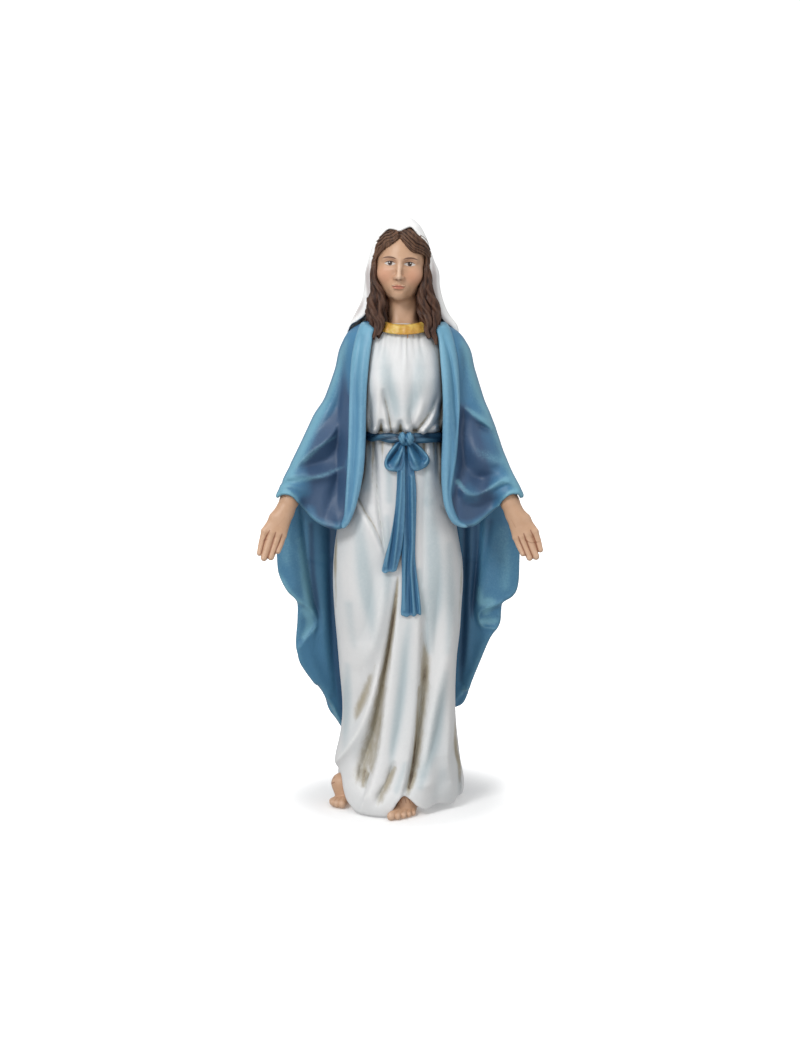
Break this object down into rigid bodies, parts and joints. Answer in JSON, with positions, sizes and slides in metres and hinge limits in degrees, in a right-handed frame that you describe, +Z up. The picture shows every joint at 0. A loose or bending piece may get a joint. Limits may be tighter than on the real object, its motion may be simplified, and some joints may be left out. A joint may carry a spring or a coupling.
{
  "type": "madonna statue",
  "caption": "Standing robed and veiled woman with open hands, in a tied gown and a long mantle that spreads behind the arms; rests on a flat underside.",
  "frame": {"origin": "middle of the footprint box on the floor, under the figure", "axes": "+Z up, the figure faces -Y, +X towards the figure's own left hand"},
  "size_m": [0.092, 0.0539, 0.203],
  "materials": {
    "gown_white": "painted resin, satin-matt, washed and dry-brushed",
    "collar_gold": "painted resin, satin-matt, washed and dry-brushed",
    "skin": "painted resin, satin-matt, washed and dry-brushed",
    "hair_brown": "painted resin, satin-matt, washed and dry-brushed",
    "veil_white": "painted resin, satin-matt, washed and dry-brushed",
    "mantle_blue": "painted resin, satin-matt, washed and dry-brushed",
    "border_blue": "painted resin, satin-matt, washed and dry-brushed",
    "sash_blue": "painted resin, satin-matt, washed and dry-brushed"
  },
  "bodies": {
    "root": {"skirt": "gown_white", "bodice": "gown_white", "collar_band": "collar_gold", "head": "skin", "hair_crown": "hair_brown", "right_locks": "hair_brown", "left_locks": "hair_brown", "veil": "veil_white", "mantle": "mantle_blue", "right_border": "border_blue", "left_border": "border_blue", "right_hand": "skin", "left_hand": "skin", "right_foot": "skin", "left_foot": "skin", "waist_sash": "sash_blue", "sash_knot": "sash_blue", "right_bow_loop": "sash_blue", "left_bow_loop": "sash_blue", "long_sash_tail": "sash_blue", "short_sash_tail": "sash_blue"}
  },
  "joints": []
}
